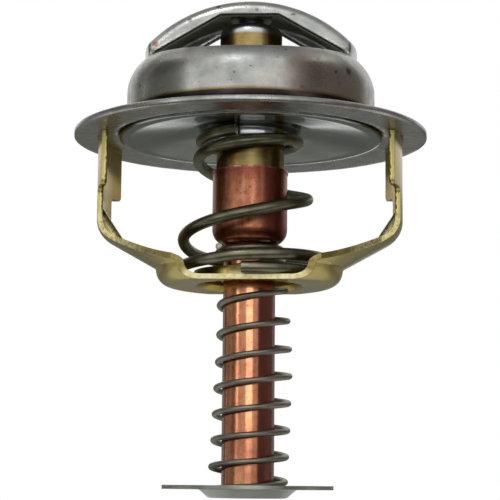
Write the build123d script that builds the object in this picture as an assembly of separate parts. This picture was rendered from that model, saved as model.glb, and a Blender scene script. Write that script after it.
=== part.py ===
"""Coolant regulator for an engine: a flanged seat with a bridge, a wax element on a copper bulb,
a valve plate with its cone spring, a spring frame and a sprung bypass plate on the bulb's tail.

The origin lies on the axis, in the plane of the flange's underside. +Z points to the bridge.
"""

import math
import os

from build123d import *

# ---------------------------------------------------------------- driving dimensions, mm
# Seat stamping: flange, drawn wall, shoulder, crown and bridge strap in one sheet
seat_sheet = 0.93
flange_radius = 27.0
flange_edge_break = 0.2
wall_radius = 19.07
flange_bend = 3.0
shoulder_height = 9.3
shoulder_bend = 6.0
crease_radius = 16.4
crease_height = 13.92
crease_bend = 1.2
crown_height = 21.26
crown_bend = 1.6
window_inset = 1.17
window_curve = 16.06
window_corner = 1.2
window_foot = 1.0
strap_half_width = 6.0
strap_edge_round = 1.4
lip_drop = 2.96
lip_flat = 4.4
lip_slope = 0.5825
socket_radius = 3.2
socket_drop = 1.36
socket_wall = 0.8

# Valve plate that closes the seat from below
plate_sheet = 0.8
plate_radius = 20.1
plate_edge_round = 0.6
plate_rim = 1.6
plate_hub_radius = 9.4
plate_rise = 1.36
plate_bend = 1.5
seat_gap = 0.05

# Wax element: brass guide, copper bulb with its tail, and what they hold
nose_radius = 4.8
nose_gap = 1.27
nose_round = 1.3
neck_step = 0.4
guide_depth = 9.6
piston_radius = 1.95
piston_clearance = 0.05
piston_length = 15.9
piston_seat = 0.25
piston_chamfer = 0.2
mouth_radius = 3.5
mouth_depth = 1.5
bulb_wall = 0.51
bulb_lip = 4.9
bulb_lip_roll = 0.1
bulb_shoulder_top = 15.29
bulb_shoulder_bottom = 16.35
bulb_shoulder_bend = 2.4
bulb_foot_bend = 0.9
tail_radius = 3.97
tail_wall = 0.6
tail_end = 54.22
tail_plug = 3.4
washer_thickness = 0.8
diaphragm_thickness = 1.2
clip_thickness = 0.7
clip_width = 1.1
clip_groove = 0.3
clip_opening = 2.6

# Spring frame: one strip with two legs, two sloping arms and a cup cut off at front and back
frame_sheet = 0.8
leg_radius = 23.3
leg_half_width = 8.2
leg_neck_half_width = 4.8
leg_step = 8.2
leg_step_round = 0.9
leg_bend = 3.6
arm_slope = 29.5
arm_neck_from = 20.0
cup_half_width = 9.9
cup_width_to = 11.0
cup_radius = 14.3
cup_lip_height = 2.7
cup_foot_radius = 13.8
cup_depth = 22.65
cup_bend = 2.3
cup_lip_bend = 0.5
cup_hole_radius = 7.6
cup_collar_height = 2.3
cup_collar_bend = 1.0
tab_half_width = 4.6
tab_fold = 2.2
slot_clearance = 0.05
dart_drop = 10.04
dart_depth = 5.3
dart_half_width = 1.7
dart_round = 0.9

# Cone spring between the valve plate and the frame's cup
main_wire = 1.77
main_top_radius = 6.9
main_bottom_radius = 10.7
main_wide_radius = 11.3
main_wide_turn = 2.7
main_flare = 1.8
main_turns = 3.97
main_top_angle = -104.0
main_closed_top_turns = 0.7
main_ramp_top_turns = 0.9
main_closed_bottom_turns = 1.0
main_ramp_bottom_turns = 1.2

# Bypass plate and its spring on the tail
bypass_radius = 12.85
bypass_sheet = 0.6
dish_radius = 7.3
dish_floor_radius = 5.85
dish_depth = 1.3
dish_bend = 1.0
collar_clearance = 0.1
collar_bend = 1.2
collar_height = 0.95
keeper_wire = 0.3
keeper_bite = 0.1
keeper_inset = 0.27
keeper_opening = 2.0
bypass_wire = 0.9
bypass_coil_top_radius = 4.75
bypass_coil_radius = 5.64
bypass_turns = 10.75
bypass_top_angle = 188.0
bypass_closed_top_turns = 0.8
bypass_ramp_top_turns = 1.0
bypass_closed_bottom_turns = 0.6
bypass_ramp_bottom_turns = 0.6
bypass_pitch_fall = 1.3

# Fits
running_gap = 0.03
press_gap = 0.02

# How finely a coil is drawn: flats round its wire, path points in a turn, and slices of pitch between them
wire_side_count = 6
steps_per_turn = 8
slices_per_step = 25

# ---------------------------------------------------------------- values that follow
crown_rise = crown_height - crease_height
crown_curve = (crown_rise**2 + crease_radius**2) / (2 * crown_rise)
crown_centre = crown_height - crown_curve
crown_under = crown_height - seat_sheet
lip_height = crown_height - lip_drop
socket_under = crown_under - socket_drop
seat_bend_centre = wall_radius + flange_bend
seat_bend_height = seat_sheet + flange_bend
rim_offset = seat_bend_centre - plate_radius + plate_edge_round
rim_reach = seat_bend_height + plate_edge_round + seat_gap
plate_rim_top = seat_bend_height - math.sqrt(rim_reach**2 - rim_offset**2) + plate_edge_round
plate_rim_under = plate_rim_top - plate_sheet
hub_under = plate_rim_under + plate_rise
hub_top = hub_under + plate_sheet

nose_top = socket_under - nose_gap
neck_radius = nose_radius + neck_step
bore_radius = piston_radius + piston_clearance
bulb_bore = neck_radius + press_gap
bulb_radius = bulb_bore + bulb_wall
bulb_slope = (bulb_shoulder_bottom - bulb_shoulder_top) / (bulb_radius - tail_radius)
piston_top = socket_under + piston_seat
piston_bottom = piston_top - piston_length
plug_top = piston_bottom - washer_thickness
diaphragm_top = -guide_depth - press_gap
plug_bottom = diaphragm_top + mouth_depth + press_gap

frame_floor = -cup_depth + frame_sheet
arm_foot = -cup_depth + cup_lip_height
arm_rise = math.tan(math.radians(arm_slope))
leg_foot = arm_foot + (leg_radius - cup_radius) * arm_rise
main_top = hub_under - press_gap - main_wire / 2
main_bottom = frame_floor + press_gap + main_wire / 2

collar_bore = tail_radius + collar_clearance
keeper_radius = tail_radius - keeper_bite + keeper_wire / 2
keeper_height = -tail_end + keeper_inset
keeper_corner = keeper_radius + keeper_wire / 2
keeper_reach = collar_bend + running_gap
collar_mouth_rise = math.sqrt(keeper_reach**2 - (collar_bore + collar_bend - keeper_corner) ** 2)
dish_floor = keeper_height + keeper_wire / 2 + collar_mouth_rise - collar_bend
bypass_under = dish_floor + dish_depth
dish_slope = dish_depth / (dish_radius - dish_floor_radius)
dish_wall_top = dish_floor + (bypass_coil_radius - dish_floor_radius) * dish_slope
dish_wall_rest = dish_wall_top + (bypass_sheet + press_gap + bypass_wire / 2) * math.hypot(1, dish_slope)
dish_floor_rest = dish_floor + bypass_sheet + press_gap + bypass_wire / 2
bypass_bottom = max(dish_wall_rest, dish_floor_rest)
bulb_shoulder_at = -bulb_shoulder_bottom + (bypass_coil_top_radius - tail_radius) * bulb_slope
bypass_spring_top = bulb_shoulder_at - (press_gap + bypass_wire / 2) * math.hypot(1, bulb_slope)


def turned(face):
    """The solid that a half section sweeps round the axis."""
    return revolve(Plane.XZ * face, Axis.Z)


def ring(outer, inner, bottom, top):
    """A plain ring or, with no inner radius, a plain disc."""
    on_base = (Align.CENTER, Align.CENTER, Align.MIN)
    body = Cylinder(outer, top - bottom, align=on_base)
    if inner > 0:
        body -= Cylinder(inner, top - bottom, align=on_base)
    return Pos(0, 0, bottom) * body


def slab(x_half, y_half, bottom, top):
    """A block centred on the axis in plan."""
    return Pos(0, 0, (bottom + top) / 2) * Box(2 * x_half, 2 * y_half, top - bottom)


def corner_at(face, radius, height):
    """A face's vertex nearest to a point of the half section."""
    return face.vertices().sort_by_distance((radius, height, 0))[0]


def sheet_section(points, bends, thickness):
    """A bent sheet's half section: one face's line with rounded corners, and the sheet on its left."""
    line = FilletPolyline(*points, radius=bends)
    return make_face(offset(line, amount=thickness, side=Side.LEFT).edges())


def smooth(share):
    """A step from 0 to 1 with no slope at either end."""
    share = min(max(share, 0), 1)
    return share * share * (3 - 2 * share)


def coil(wire, turns, start_angle, radius_at, top, bottom, closed, ramps, closed_pitch, pitch_fall=0.0):
    """A right-handed coil from its top end down, with cut ends and a wire of six flats.

    Near the top and the bottom the pitch is closed for the given turns and then opens over a ramp.
    Between the ramps the pitch falls evenly, by pitch_fall over the whole coil.
    """
    steps = math.ceil(turns * steps_per_turn)
    width = turns / (steps * slices_per_step)
    fixed_drops = []
    open_shares = []
    for index in range(steps * slices_per_step):
        turn = (index + 0.5) * width
        from_top = smooth((turn - closed[0]) / ramps[0])
        from_bottom = smooth((turns - turn - closed[1]) / ramps[1])
        open_share = min(from_top, from_bottom)
        fall = pitch_fall * (0.5 - turn / turns)
        fixed_drops.append((closed_pitch * (1 - open_share) + fall * open_share) * width)
        open_shares.append(open_share * width)
    open_pitch = (top - bottom - sum(fixed_drops)) / sum(open_shares)

    points = []
    height = top
    for step in range(steps + 1):
        turn = turns * step / steps
        angle = math.radians(start_angle) - 2 * math.pi * turn
        radius = radius_at(turn)
        points.append((radius * math.cos(angle), radius * math.sin(angle), height))
        for index in range(step * slices_per_step, min((step + 1) * slices_per_step, len(open_shares))):
            height -= fixed_drops[index] + open_pitch * open_shares[index]
    path = Spline(*points)
    start = Plane(origin=path @ 0, z_dir=path % 0)
    return sweep(start * RegularPolygon(wire / 2, wire_side_count), path=path, is_frenet=True)


def seat_outline():
    """The region under the seat stamping's upper face: a section from just beyond the axis outwards."""
    far = flange_radius + flange_bend + shoulder_bend
    deep = -shoulder_height
    knee = shoulder_height + wall_radius - crease_radius
    crown_edge = crown_centre + math.sqrt(crown_curve**2 - crease_radius**2)
    beyond_axis = -crease_radius / 2
    crown_beyond = (beyond_axis, crown_centre + math.sqrt(crown_curve**2 - beyond_axis**2))
    outline = Polyline(
        (beyond_axis, deep),
        (far, deep),
        (far, seat_sheet),
        (wall_radius, seat_sheet),
        (wall_radius, shoulder_height),
        (crease_radius, knee),
        (crease_radius, crown_edge),
    )
    top = ThreePointArc((crease_radius, crown_edge), (0, crown_height), crown_beyond)
    closing_side = Line(crown_beyond, (beyond_axis, deep))
    face = make_face([*outline.edges(), *top.edges(), *closing_side.edges()])
    bends = [
        (wall_radius, seat_sheet, flange_bend),
        (wall_radius, shoulder_height, shoulder_bend),
        (crease_radius, knee, crease_bend),
        (crease_radius, crown_edge, crown_bend),
    ]
    for radius, height, bend in bends:
        face = fillet(corner_at(face, radius, height), bend)
    return face


def window_punch():
    """The punch of the front window: a D in plan, with its straight side along the strap."""
    arc_centre = -(wall_radius - window_inset - window_curve)
    corner_x = math.sqrt(window_curve**2 - (strap_half_width + arc_centre) ** 2)
    left = (-corner_x, -strap_half_width)
    right = (corner_x, -strap_half_width)
    sill = ThreePointArc(left, (0, arc_centre - window_curve), right)
    opening = make_face([*sill.edges(), *Line(right, left).edges()])
    opening = fillet(opening.vertices(), window_corner)
    bottom = shoulder_height - seat_sheet - window_foot
    return Pos(0, 0, bottom) * extrude(opening, amount=crown_height - bottom + seat_sheet)


def fold_cutter():
    """What rounds the strap's edge on the +Y side: a bar swept along the crown, hollowed to the fold."""
    centre = Vector(strap_half_width - strap_edge_round, 0)
    centre += Vector(0, math.sqrt((crown_curve - strap_edge_round) ** 2 - centre.X**2))
    towards_side = Vector(1, 0)
    towards_crown = centre.normalized()
    towards_corner = (towards_side + towards_crown).normalized()
    side_end = centre + towards_side * strap_edge_round
    crown_end = centre + towards_crown * strap_edge_round
    fold = ThreePointArc(side_end, centre + towards_corner * strap_edge_round, crown_end)
    outer = crown_curve + strap_edge_round
    beside = strap_half_width + seat_sheet
    bar = Polyline(crown_end, (crown_end.X, outer), (beside, outer), (beside, side_end.Y), side_end)
    face = make_face([*fold.edges(), *bar.edges()])
    swept = revolve(Plane.YZ * face, Axis.Y)
    reach = math.sqrt(crease_radius**2 - strap_half_width**2)
    over_strap = slab(reach, 2 * strap_half_width, shoulder_height, 2 * crown_height)
    return Pos(0, 0, crown_centre) * swept & over_strap


def seat_and_bridge():
    """The flange, seat, drawn wall, shoulder and bridge strap, pressed from one sheet."""
    outside = seat_outline()
    inside = offset(outside, amount=-seat_sheet)
    blank = Pos(flange_radius / 2, crown_height / 2) * Rectangle(flange_radius, crown_height)
    section = (outside - inside) & blank
    section = chamfer(corner_at(section, flange_radius, seat_sheet), flange_edge_break)
    body = turned(section)
    punch = window_punch()
    body -= [punch, Rot(0, 0, 180) * punch]

    # The strap's long edges, folded down: level in the middle and sloping to the shoulder
    lip_end = lip_height - (wall_radius - lip_flat) * lip_slope
    lip_view = Polyline(
        (-wall_radius, lip_end),
        (-lip_flat, lip_height),
        (lip_flat, lip_height),
        (wall_radius, lip_end),
        (wall_radius, crown_height + seat_sheet),
        (-wall_radius, crown_height + seat_sheet),
        close=True,
    )
    lips = extrude(Plane.XZ * make_face(lip_view), strap_half_width, both=True)
    lips -= slab(2 * wall_radius, strap_half_width - seat_sheet, -crown_height, 2 * crown_height)
    body += lips & turned(outside & blank)
    cutter = fold_cutter()
    body -= [cutter, Rot(0, 0, 180) * cutter]

    # The boss under the strap that takes the piston's head, dimpled from above
    body += ring(socket_radius, 0, socket_under, crown_under)
    body -= ring(socket_radius - socket_wall, 0, crown_height - socket_drop, crown_height + socket_drop)
    body -= ring(piston_radius + press_gap, 0, socket_under - socket_drop, piston_top + press_gap)

    # Curved slots for the frame's tabs
    slot_inner = leg_radius - frame_sheet - slot_clearance
    slots = ring(leg_radius + slot_clearance, slot_inner, -seat_sheet, 2 * seat_sheet)
    slots &= slab(flange_radius, tab_half_width + slot_clearance, -seat_sheet, 2 * seat_sheet)
    return body - slots


def valve_plate():
    """The dished plate: a flat rim under the seat, a cone and a raised flat hub round the guide."""
    line = [
        (nose_radius + press_gap, hub_under),
        (plate_hub_radius, hub_under),
        (plate_radius - plate_rim, plate_rim_under),
        (plate_radius, plate_rim_under),
    ]
    face = sheet_section(line, plate_bend, plate_sheet)
    face = fillet(corner_at(face, plate_radius, plate_rim_top), plate_edge_round)
    return turned(face)


def plate_clip():
    """The open spring clip in the guide's groove that holds the valve plate down on its shoulder."""
    bottom = hub_top + press_gap
    inner = nose_radius - clip_groove + press_gap
    body = ring(inner + clip_width, inner, bottom, bottom + clip_thickness)
    mouth = Pos(0, inner, bottom) * Box(clip_opening, 2 * inner, 3 * clip_thickness)
    return body - mouth


def guide():
    """The turned brass guide: nose, shoulder and neck outside, piston bore and diaphragm mouth inside."""
    foot = -guide_depth
    outline = Polyline(
        (bore_radius, nose_top),
        (nose_radius, nose_top),
        (nose_radius, hub_under - press_gap),
        (neck_radius, hub_under - press_gap),
        (neck_radius, foot),
        (mouth_radius, foot),
        (bore_radius, foot + mouth_depth),
        close=True,
    )
    face = make_face(outline)
    face = fillet(corner_at(face, nose_radius, nose_top), nose_round)
    groove_top = hub_top + clip_thickness + 2 * press_gap
    return turned(face) - ring(nose_radius + clip_width, nose_radius - clip_groove, hub_top, groove_top)


def bulb_cavity(inset):
    """The half section of the space in the bulb, narrowed all round by a small inset."""
    floor = -tail_end + tail_plug + inset
    tail_bore = tail_radius - tail_wall - inset
    slope_shift = bulb_wall * math.hypot(1, bulb_slope) + inset
    bulb_line = bulb_bore - inset
    slope_top = -bulb_shoulder_top + slope_shift + (bulb_line - bulb_radius) * bulb_slope
    slope_bottom = -bulb_shoulder_bottom + slope_shift + (tail_bore - tail_radius) * bulb_slope
    outline = Polyline(
        (0, floor),
        (tail_bore, floor),
        (tail_bore, slope_bottom),
        (bulb_line, slope_top),
        (bulb_line, 0),
        (0, 0),
        close=True,
    )
    cavity = make_face(outline)
    return fillet(corner_at(cavity, bulb_line, slope_top), bulb_shoulder_bend - bulb_wall - inset)


def keeper_hoop(gap):
    """The closed hoop of the keeper ring's wire, grown by a gap."""
    half = keeper_wire / 2 + gap
    return ring(keeper_radius + half, keeper_radius - half, keeper_height - half, keeper_height + half)


def copper_bulb():
    """The copper bulb and tail, one drawn piece with a groove for the keeper ring near its end."""
    outline = Polyline(
        (0, -tail_end),
        (tail_radius, -tail_end),
        (tail_radius, -bulb_shoulder_bottom),
        (bulb_radius, -bulb_shoulder_top),
        (bulb_radius, -bulb_lip),
        (0, -bulb_lip),
        close=True,
    )
    outside = make_face(outline)
    outside = fillet(corner_at(outside, tail_radius, -bulb_shoulder_bottom), bulb_foot_bend)
    outside = fillet(corner_at(outside, bulb_radius, -bulb_shoulder_top), bulb_shoulder_bend)
    lip_bead = ring(bulb_radius + bulb_lip_roll, bulb_bore, -bulb_lip - bulb_wall, -bulb_lip)
    return turned(outside) + lip_bead - turned(bulb_cavity(0)) - keeper_hoop(press_gap)


def diaphragm():
    """The rubber disc under the guide's foot, with a cone that stands in the guide's mouth."""
    edge = bulb_bore - press_gap
    outline = Polyline(
        (0, diaphragm_top - diaphragm_thickness),
        (edge, diaphragm_top - diaphragm_thickness),
        (edge, diaphragm_top),
        (mouth_radius - press_gap, diaphragm_top),
        (bore_radius - press_gap, diaphragm_top + mouth_depth),
        (0, diaphragm_top + mouth_depth),
        close=True,
    )
    return turned(make_face(outline))


def wax_charge():
    """The wax that fills the bulb and its tail under the diaphragm."""
    top = diaphragm_top - diaphragm_thickness - press_gap
    return turned(bulb_cavity(press_gap)) & ring(bulb_radius, 0, -tail_end, top)


def piston():
    """The steel piston, its head in the bridge's boss and its foot in the guide."""
    body = ring(piston_radius, 0, piston_bottom, piston_top)
    return chamfer(body.edges().filter_by(GeomType.CIRCLE), piston_chamfer)


def piston_washer():
    """The hard washer that keeps rubber out of the piston's running gap."""
    return ring(piston_radius, 0, plug_top, piston_bottom)


def rubber_plug():
    """The plug that carries the wax's push from the diaphragm to the piston."""
    return ring(piston_radius, 0, plug_bottom, plug_top)


def keeper_ring():
    """The open ring of square wire in the tail's groove that keeps the bypass plate on."""
    mouth = Pos(0, keeper_radius, keeper_height) * Box(keeper_opening, keeper_radius, 3 * keeper_wire)
    return keeper_hoop(0) - mouth


def bypass_plate():
    """The bypass plate: a flat rim, a dish for the spring's end and a collar that slides on the tail."""
    line = [
        (collar_bore, dish_floor + bypass_sheet + collar_height),
        (collar_bore, dish_floor),
        (dish_floor_radius, dish_floor),
        (dish_radius, bypass_under),
        (bypass_radius, bypass_under),
    ]
    return turned(sheet_section(line, [collar_bend, dish_bend, dish_bend], bypass_sheet))


def main_spring():
    """The cone spring that holds the valve plate against its seat."""

    def radius_at(turn):
        if turn < main_wide_turn:
            flare = (turn / main_wide_turn) ** main_flare
            return main_top_radius + (main_wide_radius - main_top_radius) * flare
        share = (turn - main_wide_turn) / (main_turns - main_wide_turn)
        return main_wide_radius + (main_bottom_radius - main_wide_radius) * smooth(share)

    closed = (main_closed_top_turns, main_closed_bottom_turns)
    ramps = (main_ramp_top_turns, main_ramp_bottom_turns)
    pitch = main_wire + running_gap
    return coil(
        main_wire,
        main_turns,
        main_top_angle,
        radius_at,
        main_top,
        main_bottom,
        closed,
        ramps,
        pitch,
    )


def bypass_spring():
    """The spring between the bulb's shoulder and the bypass plate."""

    def radius_at(turn):
        return bypass_coil_top_radius + (bypass_coil_radius - bypass_coil_top_radius) * turn / bypass_turns

    closed = (bypass_closed_top_turns, bypass_closed_bottom_turns)
    ramps = (bypass_ramp_top_turns, bypass_ramp_bottom_turns)
    pitch = bypass_wire + running_gap
    return coil(
        bypass_wire,
        bypass_turns,
        bypass_top_angle,
        radius_at,
        bypass_spring_top,
        bypass_bottom,
        closed,
        ramps,
        pitch,
        bypass_pitch_fall,
    )


def cup_and_arms_plan():
    """The strip's plan: the cut-off cup in the middle, narrowing along both arms to the legs' necks."""
    tip = leg_radius + frame_sheet
    half = [
        (-tip, leg_neck_half_width),
        (-arm_neck_from, leg_neck_half_width),
        (-cup_width_to, cup_half_width),
        (cup_width_to, cup_half_width),
        (arm_neck_from, leg_neck_half_width),
        (tip, leg_neck_half_width),
    ]
    other_half = [(-x, -y) for x, y in half]
    return make_face(Polyline(*half, *other_half, close=True))


def leg_view():
    """A leg's outline seen from the side: its narrow neck below and its full width up to the flange."""
    low = -cup_depth
    half = [(-leg_neck_half_width, low), (-leg_neck_half_width, -leg_step), (-leg_half_width, -leg_step)]
    top = [(-leg_half_width, 0), (leg_half_width, 0)]
    other_half = [(-y, z) for y, z in reversed(half)]
    face = make_face(Polyline(*half, *top, *other_half, close=True))
    for side in (-1, 1):
        for width in (leg_neck_half_width, leg_half_width):
            face = fillet(corner_at(face, side * width, -leg_step), leg_step_round)
    return face


def dart():
    """The gusset pressed into the bend of the leg on the +X side: a ridge with rounded flanks."""
    back = leg_radius - frame_sheet / 2
    foot = leg_foot - dart_depth * arm_rise + frame_sheet / 2
    half_turn = math.radians(90 - arm_slope) / 2
    bend_centre = leg_foot + leg_bend * math.tan(half_turn)
    bend_middle = (
        leg_radius - leg_bend + (leg_bend - frame_sheet / 2) * math.cos(half_turn),
        bend_centre - (leg_bend - frame_sheet / 2) * math.sin(half_turn),
    )
    side_view = Polyline(
        (back, -dart_drop),
        (back, bend_centre),
        bend_middle,
        (leg_radius - dart_depth, foot),
        close=True,
    )
    body = extrude(Plane.XZ * make_face(side_view), dart_half_width, both=True)
    ridge_middle = Vector((back + leg_radius - dart_depth) / 2, 0, (foot - dart_drop) / 2)
    ridge = body.edges().filter_by(Axis.Y, reverse=True).sort_by_distance(ridge_middle)[:2]
    return fillet(ridge, dart_round)


def folded_tab():
    """A leg's tab on the +X side, up through the flange's slot and folded out over the flange."""
    fold_bottom = seat_sheet + press_gap
    fold_top = fold_bottom + frame_sheet
    shank = ring(leg_radius, leg_radius - frame_sheet, -frame_sheet, fold_top)
    fold = ring(leg_radius + tab_fold, leg_radius - frame_sheet, fold_bottom, fold_top)
    side = Pos(leg_radius, 0, 0) * Box(leg_radius, 2 * tab_half_width, 4 * frame_sheet + 4 * seat_sheet)
    return (shank + fold) & side


def spring_frame():
    """The strip that carries the cone spring: two curved legs, two sloping arms and a cup."""
    line = [
        (cup_hole_radius, cup_collar_height - cup_depth),
        (cup_hole_radius, -cup_depth),
        (cup_foot_radius, -cup_depth),
        (cup_radius, arm_foot),
        (leg_radius, leg_foot),
        (leg_radius, -press_gap),
    ]
    bowl = turned(sheet_section(line, [cup_collar_bend, cup_bend, cup_lip_bend, leg_bend], frame_sheet))
    strip = Pos(0, 0, -cup_depth - frame_sheet) * extrude(cup_and_arms_plan(), amount=cup_depth - leg_step)
    legs = extrude(Plane.YZ * leg_view(), leg_radius + frame_sheet, both=True)
    legs -= slab(arm_neck_from, 2 * leg_half_width, -cup_depth - frame_sheet, frame_sheet)
    body = (bowl & strip) + (bowl & legs)
    extras = dart() + folded_tab()
    return body + extras + mirror(extras, about=Plane.YZ)


PIECES = {
    "seat_and_bridge": seat_and_bridge,
    "spring_frame": spring_frame,
    "piston": piston,
    "piston_washer": piston_washer,
    "rubber_plug": rubber_plug,
    "main_spring": main_spring,
    "valve_plate": valve_plate,
    "plate_clip": plate_clip,
    "guide": guide,
    "diaphragm": diaphragm,
    "wax_charge": wax_charge,
    "copper_bulb": copper_bulb,
    "bypass_spring": bypass_spring,
    "keeper_ring": keeper_ring,
    "bypass_plate": bypass_plate,
}


def main():
    os.makedirs("parts", exist_ok=True)
    for name, make in PIECES.items():
        piece = make()
        export_step(piece, f"parts/{name}.step")
        print(name, round(piece.volume, 2), "mm3", "valid" if piece.is_valid else "NOT VALID")


main()
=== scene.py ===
"""Looks for the engine thermostat: camera, studio, materials and the two round-wire springs.

Lengths are metres, with MM to write the real millimetres. The flange's underside lies in z = 0 and
the bridge points up.
"""

import math

import bpy
from mathutils import Matrix, Vector


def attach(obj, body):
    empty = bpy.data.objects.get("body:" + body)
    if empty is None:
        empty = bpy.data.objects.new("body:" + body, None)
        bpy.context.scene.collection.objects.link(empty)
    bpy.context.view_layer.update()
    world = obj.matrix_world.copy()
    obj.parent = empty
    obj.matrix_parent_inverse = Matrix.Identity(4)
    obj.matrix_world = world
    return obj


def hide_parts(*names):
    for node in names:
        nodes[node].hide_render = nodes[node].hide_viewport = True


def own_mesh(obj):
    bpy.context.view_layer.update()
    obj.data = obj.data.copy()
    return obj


MM = 0.001

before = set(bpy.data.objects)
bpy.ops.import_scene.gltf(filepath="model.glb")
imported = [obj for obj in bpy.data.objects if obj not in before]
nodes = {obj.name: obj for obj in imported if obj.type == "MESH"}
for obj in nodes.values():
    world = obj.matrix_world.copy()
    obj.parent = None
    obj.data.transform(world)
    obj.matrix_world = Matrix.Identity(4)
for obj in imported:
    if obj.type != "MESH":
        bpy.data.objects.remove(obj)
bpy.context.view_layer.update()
scene = bpy.context.scene


# ---------------------------------------------------------------- camera
# Long lens a little to the right of the legs' plane, below the flange and looking slightly up
CAMERA_DISTANCE = 249.7 * MM
CAMERA_HEIGHT = -52.42 * MM
CAMERA_AZIMUTH = math.radians(3.0)
CAMERA_PITCH = math.radians(8.08)
CAMERA_ROLL = math.radians(0.495)
CAMERA_ASIDE = 0.07 * MM
IMAGE_PIXELS = 500
FOCAL_PIXELS = 1652.7
SENSOR_WIDTH = 36.0


def make_camera():
    """The camera at its place, turned with the azimuth so that the legs' plane stays on X."""
    data = bpy.data.cameras.new("camera")
    data.sensor_fit = "HORIZONTAL"
    data.sensor_width = SENSOR_WIDTH
    data.lens = FOCAL_PIXELS / IMAGE_PIXELS * SENSOR_WIDTH
    data.clip_start = 10 * MM
    data.clip_end = 10.0
    camera = bpy.data.objects.new("camera", data)
    turned = Matrix.Rotation(CAMERA_AZIMUTH, 4, "Z")
    placed = Matrix.Translation(Vector((CAMERA_ASIDE, -CAMERA_DISTANCE, CAMERA_HEIGHT)))
    looking = Matrix.Rotation(math.pi / 2 + CAMERA_PITCH, 4, "X")
    rolled = Matrix.Rotation(CAMERA_ROLL, 4, "Z")
    camera.matrix_world = turned @ placed @ looking @ rolled
    scene.collection.objects.link(camera)
    scene.camera = camera


# ---------------------------------------------------------------- nodes and materials
def colour(hex_code):
    """An sRGB hex value as linear RGBA."""
    channels = []
    for start in (1, 3, 5):
        value = int(hex_code[start : start + 2], 16) / 255
        linear = value / 12.92 if value <= 0.04045 else ((value + 0.055) / 1.055) ** 2.4
        channels.append(linear)
    return (*channels, 1.0)


def join(tree, node, links):
    """Links a node's sockets to what (node, output) pairs give."""
    for name, (source, output) in links.items():
        tree.links.new(source.outputs[output], node.inputs[name])


def add(tree, kind, settings=None, values=None, links=None):
    """Adds a node: its settings by name, its sockets' values, and links from (node, output) pairs.

    The setting "stops" is a ramp's list of (place, hex colour). A socket goes by its name, or by
    its number where two share a name.
    """
    node = tree.nodes.new(kind)
    for name, value in (settings or {}).items():
        if name == "stops":
            elements = node.color_ramp.elements
            elements.remove(elements[1])
            elements[0].position = value[0][0]
            elements[0].color = colour(value[0][1])
            for place, code in value[1:]:
                elements.new(place).color = colour(code)
        else:
            setattr(node, name, value)
    for name, value in (values or {}).items():
        node.inputs[name].default_value = value
    join(tree, node, links or {})
    return node


def noise(tree, place, size_mm, detail, roughness=0.5):
    """A noise whose features are this many millimetres across; its place is a (node, output)."""
    values = {"Scale": 1 / (size_mm * MM), "Detail": detail, "Roughness": roughness}
    return add(tree, "ShaderNodeTexNoise", values=values, links={"Vector": place})


def ramp(tree, level, stops):
    """A ramp of (place, hex colour) stops over the level that a (node, output) gives."""
    return add(tree, "ShaderNodeValToRGB", {"stops": stops}, links={"Fac": level})


def combine(tree, operation, first, second):
    """Two numbers, each from a (node, output), through one operation."""
    return add(tree, "ShaderNodeMath", {"operation": operation}, links={0: first, 1: second})


def blank_material(name):
    """A new material with an emptied tree and its object coordinates."""
    material = bpy.data.materials.new(name)
    material.use_nodes = True
    tree = material.node_tree
    tree.nodes.clear()
    here = add(tree, "ShaderNodeTexCoord")
    return material, tree, here


def start_material(name, metallic=1.0):
    """A new material with its tree, its shader and its object coordinates."""
    material, tree, here = blank_material(name)
    shader = add(tree, "ShaderNodeBsdfPrincipled", values={"Metallic": metallic})
    add(tree, "ShaderNodeOutputMaterial", links={"Surface": (shader, "BSDF")})
    return material, tree, shader, here


def dress(node_name, material):
    """Gives a CAD node its material."""
    slots = nodes[node_name].data.materials
    slots.clear()
    slots.append(material)


# A place inside the spring frame that all its outer sides look away from
FRAME_MIDDLE = (0, 0, -8 * MM)
# The strip's two faces on a leg, and where the leg's torn edge ends
LEG_INNER_RADIUS = 22.5 * MM
LEG_OUTER_RADIUS = 23.3 * MM
LEG_EDGE_FOOT = -12.5 * MM
# The cup's straight front cut lies below this height and within this half width
CUP_EDGE_TOP = -21.0 * MM
CUP_EDGE_HALF = 9.1 * MM
# The tapered arms start this far out, and their bright elbows here
ARM_START = 12.5 * MM
ELBOW_INNER = 15.0 * MM
# Ramps of the brass's tones: inside, outside, and on the cut edges of legs, arms, elbows and cup
INSIDE_TONES = [(0.3, "#8a7636"), (0.5, "#ad9648"), (0.7, "#bfa85c")]
OUTSIDE_TONES = [(0.3, "#a1925a"), (0.5, "#b0a064"), (0.7, "#b8a863")]
LEG_EDGE_TONES = [(0.62, "#5d5024"), (0.74, "#b3a152"), (0.86, "#ece2ae"), (1.0, "#c9bb74")]
ARM_EDGE_TONES = [(0.34, "#867a48"), (0.52, "#9a8e58"), (0.68, "#a89c66")]
ELBOW_EDGE_TONES = [(0.36, "#a99d62"), (0.5, "#cfc48c"), (0.64, "#ded4a4")]
CUP_EDGE_TONES = [(0.34, "#cfc28a"), (0.5, "#e0d5a4"), (0.66, "#e8deb2")]
# The bulb's shoulder ends and its tail begins here
BULB_FOOT = -16.4 * MM
# The bulb's torn upper rim
BULB_LIP = -4.75 * MM
# The maroon band under the bulb's lip ends here
BULB_LIP_BAND = -6.1 * MM
# Ramps of the copper's tones on the bulb and on the tail
BULB_TONES = [(0.36, "#85492f"), (0.5, "#a86748"), (0.62, "#bd8669")]
TAIL_TONES = [(0.36, "#8f4f34"), (0.5, "#b4714a"), (0.64, "#c68a5e")]
# The painted highlight at the top of the guide's nose starts here
NOSE_LIP = 16.1 * MM
# The tones of the painted shade in the crook above the flange, and of the painted highlight line
# where it ends, are spread over this height
CROOK_SCALE = 6.0 * MM
CROOK_SHADE_TONES = [
    (0.155, "#ffffff"), (0.17, "#a39c98"), (0.38, "#6a6262"), (0.48, "#3a343c"),
    (0.60, "#544a46"), (0.65, "#e0c890"), (0.70, "#ffffff"),
]
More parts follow.
